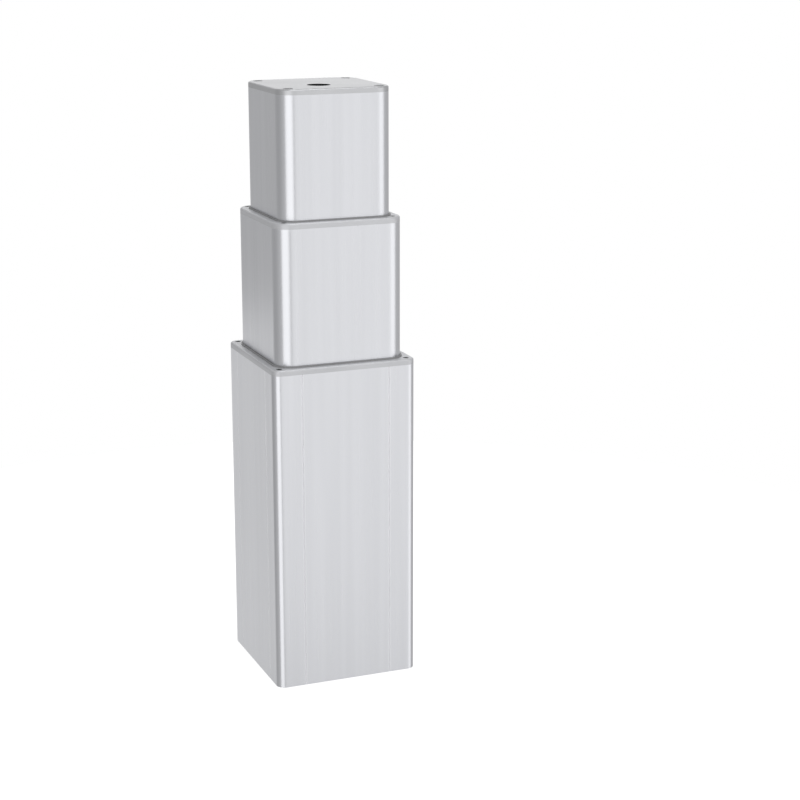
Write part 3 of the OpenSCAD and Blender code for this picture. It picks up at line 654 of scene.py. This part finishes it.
def solidsOf(node):
    # the corners of each separate solid in a node, from a merged copy of its mesh
    clearSelection()
    measured = bpy.data.objects.new("measured", nodes[node].data.copy())
    bpy.context.scene.collection.objects.link(measured)
    measured.select_set(True)
    bpy.context.view_layer.objects.active = measured
    bpy.ops.object.mode_set(mode="EDIT")
    bpy.ops.mesh.select_all(action="SELECT")
    bpy.ops.mesh.remove_doubles(threshold=mergeBelow)
    bpy.ops.mesh.separate(type="LOOSE")
    bpy.ops.object.mode_set(mode="OBJECT")
    parts = list(bpy.context.selected_objects)
    clouds = [[corner.co.copy() for corner in part.data.vertices] for part in parts]
    for part in parts:
        bpy.data.objects.remove(part)
    return clouds


def measureScrew(cloud):
    # head and shank of one upright screw, from its corners
    low = Vector([min(co[axis] for co in cloud) for axis in range(3)])
    high = Vector([max(co[axis] for co in cloud) for axis in range(3)])
    middle = (low + high) / 2
    reach = [(math.hypot(co.x - middle.x, co.y - middle.y), co.z) for co in cloud]
    headR = max(radius for radius, height in reach)
    rim = [height for radius, height in reach if radius > rimShare * headR]
    headUp = max(rim) > high.z - touching
    shank = [radius for radius, height in reach
             if not min(rim) - touching < height < max(rim) + touching]
    return {"x": middle.x, "y": middle.y, "under": min(rim) if headUp else max(rim), "headUp": headUp,
            "headR": headR, "headH": max(rim) - min(rim), "shankR": max(shank),
            "long": min(rim) - low.z if headUp else high.z - max(rim)}


def makeScrews(node):
    kind = screwKinds[node]
    thread = screwThreads[kind["thread"]]
    shape = screwShape
    screws = [measureScrew(cloud) for cloud in solidsOf(node)]
    first = screws[0]
    shankR, headR, headH = first["shankR"], first["headR"], first["headH"]
    coreR = shankR - thread["depth"]
    pitch = thread["pitch"]
    bevel = headR * shape["bevel"]
    threadFrom = -first["long"] + shape["tipLength"]
    blank = turned(node + "Blank", [
        (coreR * shape["tip"], -first["long"]), (coreR, threadFrom), (coreR, -shape["coreEnd"]),
        (shankR, -shape["shankStart"]), (headR, 0), (headR, headH - bevel),
        (headR - bevel, headH)], around=32)
    bored(blank, headR * shape["socket"], headH, headH * shape["socketAt"], around=6)
    ridge = helix(node + "Thread", coreR - shape["bite"], shankR, pitch, 1, threadFrom,
                  -shape["threadEnd"], pitch * shape["foot"], pitch * shape["crest"], perTurn=18)
    model = joined(node + "Model", [blank, ridge])
    made = []
    for screw in screws:
        turn = (0 if screw["headUp"] else math.pi, 0, 0)
        made.append(copied(model, (screw["x"], screw["y"], screw["under"]), turn))
    bpy.data.objects.remove(model)
    screwSet = joined(node + "_threaded", made)
    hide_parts(node)
    return finished(screwSet, kind["body"], kind["slot"])


winding = {
    "coils": 10,
    "thick": 0.0010,
    "half": 0.0024,      # from the middle of a coil to the middle of its wire
    "wide": 1.35,        # stretched round the shaft, and along its own turn
    "long": 1.4,
    "lean": 12,          # degrees
    "middle": 0.0105,    # of a coil, from the shaft's axis
    "proud": 0.0017,
}


def makeWindings():
    # copper coil ends on both faces of the armature
    low, high, middle = sizeOf("armature")
    clearSelection()
    bpy.ops.mesh.primitive_torus_add(major_segments=22, minor_segments=8, major_radius=winding["half"],
                                     minor_radius=winding["thick"], location=(winding["middle"], 0, 0))
    coil = bpy.context.object
    coil.scale = (1, winding["wide"], winding["long"])
    coil.rotation_euler = (0, math.radians(winding["lean"]), 0)
    setPlace(coil)
    ring = joined("coilRing", copiedRound(coil, winding["coils"]))
    ends = []
    for face, side in ((low.x, -1), (high.x, 1)):
        spot = (face + side * winding["proud"], middle.y, middle.z)
        ends.append(copied(ring, spot, (0, side * math.pi / 2, 0)))
    bpy.data.objects.remove(ring)
    return finished(joined("armatureWindings", ends), "motor_rotor", "commutator_copper", smoothBelow=80)


commutatorCut = {
    "bars": 10,
    "wide": 0.0005,      # of a slit
    "deep": 0.0012,
    "past": 0.001,       # how far the cutter stands out of the ring
    "boreR": 0.00305,
    "bevel": 0.0003,
}


def makeCommutator():
    # copper ring with the thin cuts between its bars
    low, high, middle = sizeOf("commutator")
    outer = (high.z - low.z) / 2
    length = high.x - low.x
    bevel = commutatorCut["bevel"]
    ring = turned("commutatorRing", [(outer, -length / 2), (outer, length / 2 - bevel),
                                     (outer - bevel, length / 2)], around=60)
    bored(ring, commutatorCut["boreR"], length * 2, around=40)
    deep, past = commutatorCut["deep"], commutatorCut["past"]
    reach = outer + (past - deep) / 2
    slits = []
    for number in range(commutatorCut["bars"]):
        angle = 2 * math.pi * (number + 0.5) / commutatorCut["bars"]
        spot = (math.cos(angle) * reach, math.sin(angle) * reach, 0)
        bpy.ops.mesh.primitive_cube_add(size=1, location=spot, rotation=(0, 0, angle))
        slit = bpy.context.object
        slit.scale = (deep + past, commutatorCut["wide"], length * 1.5)
        setPlace(slit)
        slits.append(slit)
    cut(ring, joined("slits", slits))
    ring.rotation_euler = (0, math.pi / 2, 0)
    ring.location = middle
    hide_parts("commutator")
    return finished(ring, "motor_rotor", "commutator_copper")


makeLowerScrew()
makeUpperScrew()
makeWorm()
print("lifting screws and worm made")
for screwNode in screwKinds:
    makeScrews(screwNode)
print("threaded screws made:", len(screwKinds), "sets")
makeWindings()
makeCommutator()
print("motor windings and commutator made")

studio = {
    "floorRadius": 0.9,
    "floorUnder": 0.0004,    # gap below the foot
    "floorRoughness": 0.9,
    "floorColour": (0.50, 0.50, 0.50, 1),
    "floorShow": 0.75,       # added where the camera looks straight at the floor
    "floorThin": 1.0,        # how far the metal sees through the floor to the room
    "worldMirror": 0.485,    # what the metal sees of the room
    "worldFill": 0.60,
    "cornerTurn": -125,      # the room is a little darker this way round
    "cornerDepth": 0.10,
    "cornerEdge": (0.80, 0.95),   # cosines of the angle from it, where it starts and is full
}


def rayMask(tree, path, shares):
    # adds up the kinds of ray named, each with its own share
    total, *others = [mathStep(tree, "MULTIPLY", path.outputs[label], share)
                      for label, share in shares.items()]
    for part in others:
        total = mathStep(tree, "ADD", total, part)
    return total


def makeFloor():
    clearSelection()
    bpy.ops.mesh.primitive_circle_add(vertices=96, radius=studio["floorRadius"], fill_type="NGON",
                                      location=(0, 0, -studio["floorUnder"]))
    floor = bpy.context.object
    floor.name = "floor"
    material, tree, shader = newMaterial("paleFloor")
    shader.inputs["Base Color"].default_value = studio["floorColour"]
    shader.inputs["Roughness"].default_value = studio["floorRoughness"]
    shader.inputs["Specular IOR Level"].default_value = 0.0
    glow = place(tree, "ShaderNodeEmission")
    path = place(tree, "ShaderNodeLightPath")
    shown = {"Is Camera Ray": studio["floorShow"], "Is Transmission Ray": studio["floorShow"]}
    tree.links.new(rayMask(tree, path, shown), glow.inputs["Strength"])
    both = place(tree, "ShaderNodeAddShader")
    tree.links.new(shader.outputs["BSDF"], both.inputs[0])
    tree.links.new(glow.outputs["Emission"], both.inputs[1])
    through = place(tree, "ShaderNodeBsdfTransparent")
    mix = place(tree, "ShaderNodeMixShader")
    tree.links.new(rayMask(tree, path, {"Is Glossy Ray": studio["floorThin"]}), mix.inputs["Fac"])
    tree.links.new(both.outputs["Shader"], mix.inputs[1])
    tree.links.new(through.outputs["BSDF"], mix.inputs[2])
    tree.links.new(mix.outputs["Shader"], tree.nodes["Material Output"].inputs["Surface"])
    floor.data.materials.append(material)


def makeWorld():
    world = bpy.data.worlds.new("studioWorld")
    bpy.context.scene.world = world
    world.use_nodes = True
    tree = world.node_tree
    room = tree.nodes["Background"]
    room.inputs["Color"].default_value = (1, 1, 1, 1)
    path = place(tree, "ShaderNodeLightPath")
    even, mirror = studio["worldFill"], studio["worldMirror"]
    seen = {"Is Camera Ray": 1 - even, "Is Transmission Ray": 1 - even, "Is Glossy Ray": mirror - even}
    strength = mathStep(tree, "ADD", rayMask(tree, path, seen), even)
    angle = math.radians(studio["cornerTurn"])
    away = (math.sin(angle), -math.cos(angle), 0)
    ways = place(tree, "ShaderNodeTexCoord").outputs["Generated"]
    towards = vectorStep(tree, "DOT_PRODUCT", ways, away, output="Value")
    corner = mapped(tree, towards, 0, studio["cornerDepth"], *studio["cornerEdge"])
    dimmed = mathStep(tree, "MULTIPLY", corner, path.outputs["Is Glossy Ray"])
    tree.links.new(mathStep(tree, "SUBTRACT", strength, dimmed), room.inputs["Strength"])


softBoxes = {
    # each stands round the column: turn in degrees from the front towards +X
    "frontBox": {"turn": 11.5, "distance": 3.0, "height": 0.35, "width": 2.15, "tall": 3.6, "power": 10.4},
    "leftBox": {"turn": -42, "distance": 2.4, "height": 0.35, "width": 2.1, "tall": 3.4, "power": 16.3},
    "rightBox": {"turn": 52, "distance": 2.4, "height": 0.35, "width": 1.6, "tall": 3.4, "power": 11.3},
    "backBox": {"turn": 160, "distance": 3.0, "height": 1.5, "width": 2.6, "tall": 1.8, "power": 9.6},
    "lowBox": {"turn": -160, "distance": 1.2, "height": -0.17, "width": 0.5, "tall": 0.66, "power": 0.25},
    "footBox": {"turn": -160, "distance": 1.2, "height": -0.42, "width": 0.5, "tall": 0.36, "power": 0.12},
}
topBox = {"at": (0.1, -0.8, 2.4), "aim": (0, 0, 0.5), "size": 1.6, "power": 11}


def hangLamp(name, at, towards, width, tall, power):
    lamp = bpy.data.lights.new(name, "AREA")
    lamp.shape = "RECTANGLE"
    lamp.size = width
    lamp.size_y = tall
    lamp.energy = power
    holder = bpy.data.objects.new(name, lamp)
    holder.location = at
    holder.rotation_euler = (Vector(towards) - Vector(at)).to_track_quat("-Z", "Y").to_euler()
    bpy.context.scene.collection.objects.link(holder)


def makeLights():
    for name, box in softBoxes.items():
        angle = math.radians(box["turn"])
        spot = (math.sin(angle) * box["distance"], -math.cos(angle) * box["distance"], box["height"])
        hangLamp(name, spot, (0, 0, box["height"]), box["width"], box["tall"], box["power"])
    hangLamp("topBox", topBox["at"], topBox["aim"], topBox["size"], topBox["size"], topBox["power"])


view = {
    "from": (-0.6755, -1.8962, 0.8155),
    "along": (0.36403, 0.89729, -0.24970),
    "lens": 84.98,
    "sensor": 36,
}


def makeCamera():
    camera = bpy.data.cameras.new("camera")
    camera.lens = view["lens"]
    camera.sensor_width = view["sensor"]
    holder = bpy.data.objects.new("camera", camera)
    holder.location = view["from"]
    holder.rotation_euler = Vector(view["along"]).to_track_quat("-Z", "Y").to_euler()
    bpy.context.scene.collection.objects.link(holder)
    bpy.context.scene.camera = holder


makeFloor()
makeWorld()
makeLights()
makeCamera()
bpy.context.scene.view_settings.view_transform = "Standard"
print("studio ready")
